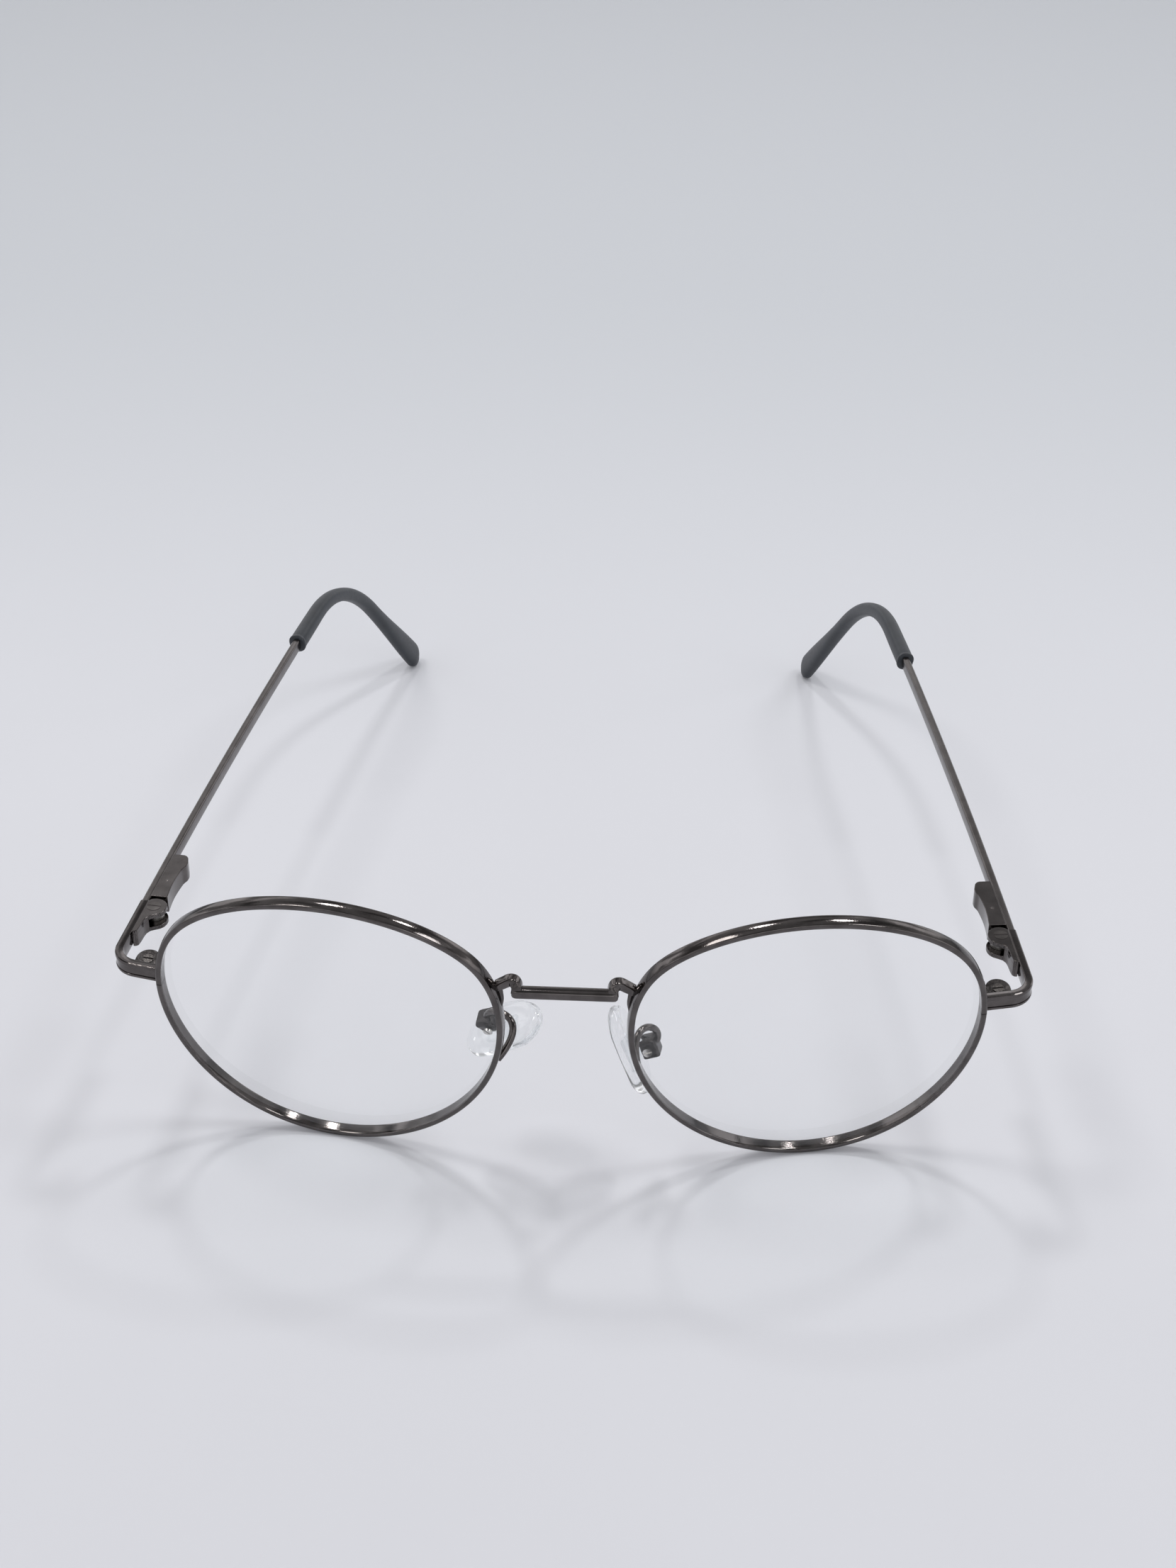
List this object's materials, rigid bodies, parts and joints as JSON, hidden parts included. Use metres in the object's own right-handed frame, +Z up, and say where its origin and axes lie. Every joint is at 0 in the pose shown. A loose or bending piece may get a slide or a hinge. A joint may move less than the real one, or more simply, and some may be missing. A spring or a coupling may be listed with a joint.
{
  "type": "round wire eyeglasses",
  "caption": "Round wire eyeglasses with clear lenses, bar bridge, rocking nose pads on wire arms, folding sprung temples and sleeved tips.",
  "frame": {"origin": "on the floor under the middle of the open frame", "axes": "+X across the face, +Y from the lenses back along the temples, +Z up; rims and tips stand on Z 0"},
  "size_m": [0.1258, 0.147, 0.0481],
  "materials": {
    "frame_metal": "polished dark plating",
    "temple_metal": "satin dark plating",
    "dark_metal": "cast, glossy",
    "screw": "turned",
    "inner_steel": "machined",
    "spring": "drawn wire",
    "lens": "polished, coated",
    "pad": "clear, soft",
    "pad_core": "clear, hard",
    "tip": "satin moulded"
  },
  "bodies": {
    "frame": {"bridge": "frame_metal", "rim_left": "frame_metal", "rim_right": "frame_metal", "lens_left": "lens", "lens_right": "lens", "pad_arm_left": "frame_metal", "pad_arm_right": "frame_metal", "pad_box_left": "dark_metal", "pad_box_right": "dark_metal", "pad_screw_left": "screw", "pad_screw_right": "screw", "endpiece_left": "frame_metal", "endpiece_right": "frame_metal", "closing_block_upper_left": "frame_metal", "closing_block_upper_right": "frame_metal", "closing_block_lower_left": "frame_metal", "closing_block_lower_right": "frame_metal", "closing_screw_left": "screw", "closing_screw_right": "screw", "hinge_fork_left": "frame_metal", "hinge_fork_right": "frame_metal"},
    "pad_left": {"nose_pad_left": "pad", "pad_insert_left": "pad_core"},
    "hinge_pin_left": {"hinge_screw_left": "screw"},
    "tongue_left": {"hinge_tongue_left": "inner_steel", "spring_stop_left": "inner_steel"},
    "temple_arm_left": {"temple_left": "temple_metal", "temple_tip_left": "tip", "hinge_housing_left": "frame_metal", "hinge_collar_left": "inner_steel", "hinge_spring_left": "spring"},
    "pad_right": {"nose_pad_right": "pad", "pad_insert_right": "pad_core"},
    "hinge_pin_right": {"hinge_screw_right": "screw"},
    "tongue_right": {"hinge_tongue_right": "inner_steel", "spring_stop_right": "inner_steel"},
    "temple_arm_right": {"temple_right": "temple_metal", "temple_tip_right": "tip", "hinge_housing_right": "frame_metal", "hinge_collar_right": "inner_steel", "hinge_spring_right": "spring"}
  },
  "joints": [
    {"name": "pad_rock_left", "type": "hinge", "parent": "frame", "child": "pad_left", "pos_m": [-0.01089, -0.06198, 0.02237], "axis": [-0.1206, -0.9048, -0.4083], "range_deg": [-10, 10]},
    {"name": "temple_flex_left", "type": "hinge", "parent": "frame", "child": "hinge_pin_left", "pos_m": [-0.0594, -0.04944, 0.02929], "axis": [0, 0, -1], "range_deg": [-12, 0]},
    {"name": "temple_fold_left", "type": "hinge", "parent": "hinge_pin_left", "child": "tongue_left", "pos_m": [-0.0594, -0.04944, 0.02929], "axis": [0, 0, -1], "range_deg": [0, 84]},
    {"name": "spring_travel_left", "type": "slide", "parent": "tongue_left", "child": "temple_arm_left", "axis": [0.1132, 0.9936, 0], "range_m": [0, 0.0006], "deforming": ["hinge_spring_left"]},
    {"name": "pad_rock_right", "type": "hinge", "parent": "frame", "child": "pad_right", "pos_m": [0.01108, -0.06287, 0.01968], "axis": [0.1257, 0.9873, -0.0969], "range_deg": [-10, 10]},
    {"name": "temple_flex_right", "type": "hinge", "parent": "frame", "child": "hinge_pin_right", "pos_m": [0.0594, -0.04944, 0.02929], "axis": [0, 0, 1], "range_deg": [-12, 0]},
    {"name": "temple_fold_right", "type": "hinge", "parent": "hinge_pin_right", "child": "tongue_right", "pos_m": [0.0594, -0.04944, 0.02929], "axis": [0, 0, 1], "range_deg": [0, 77]},
    {"name": "spring_travel_right", "type": "slide", "parent": "tongue_right", "child": "temple_arm_right", "axis": [-0.1132, 0.9936, 0], "range_m": [0, 0.0006], "deforming": ["hinge_spring_right"]}
  ],
  "couplings": [
    {"joint": "spring_travel_left", "follows": "temple_flex_left", "m_per_rad": -0.0028648},
    {"joint": "spring_travel_right", "follows": "temple_flex_right", "m_per_rad": -0.0028648}
  ]
}
